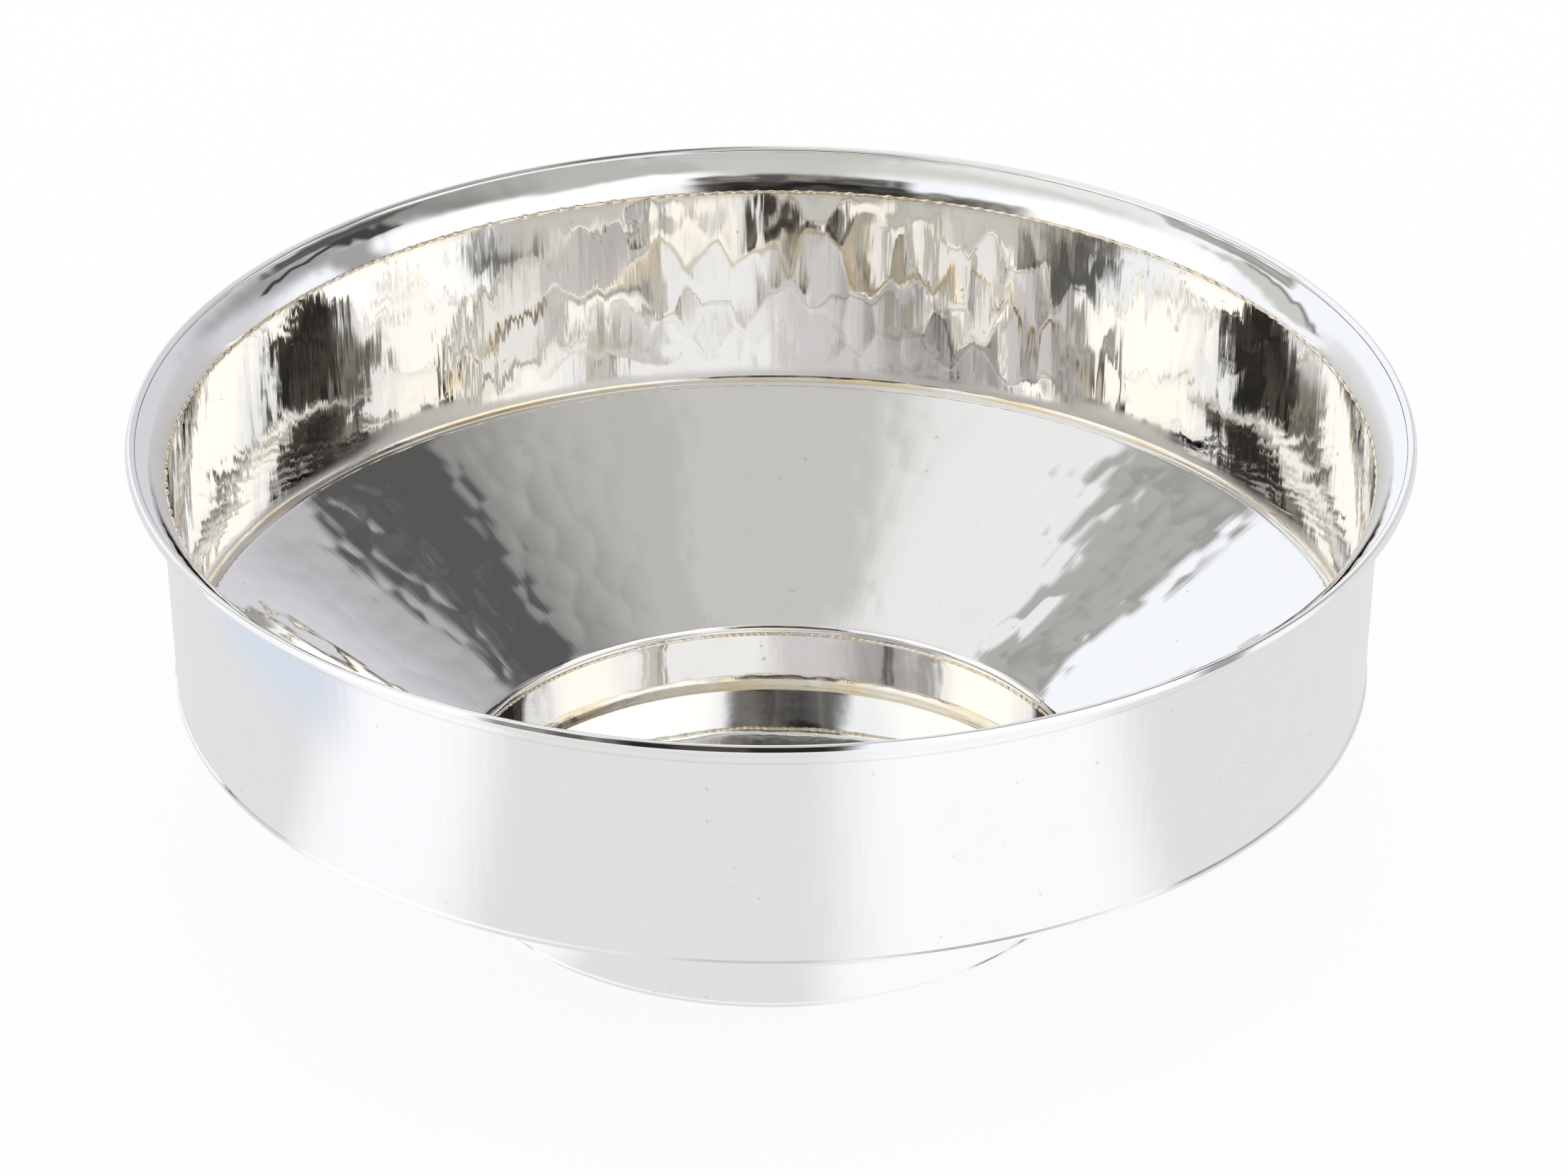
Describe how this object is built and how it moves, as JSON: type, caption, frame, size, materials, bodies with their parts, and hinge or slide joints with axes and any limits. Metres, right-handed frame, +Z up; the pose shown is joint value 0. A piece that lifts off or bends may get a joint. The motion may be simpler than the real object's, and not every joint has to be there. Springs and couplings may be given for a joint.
{
  "type": "offering bowl",
  "caption": "Wide shallow bowl of hammered bright metal with a flared lip, an upright wall, a sloping floor and a round central well whose outside is the foot.",
  "frame": {"origin": "centre of the foot's underside, on the surface that the bowl stands on", "axes": "+Z up along the bowl's axis of revolution; X and Y level"},
  "size_m": [0.2998, 0.2998, 0.1123],
  "materials": {
    "hammered_silver": "hammered and polished",
    "polished_silver": "polished",
    "solder": "polished seam"
  },
  "bodies": {
    "root": {"rim_edge_wire": "polished_silver", "rim_flange": "polished_silver", "wall_band": "hammered_silver", "floor_cone": "hammered_silver", "well_ring": "polished_silver", "base_disc": "polished_silver", "rim_solder": "solder", "shoulder_solder": "solder", "mouth_solder": "solder", "base_solder": "solder"}
  },
  "joints": []
}
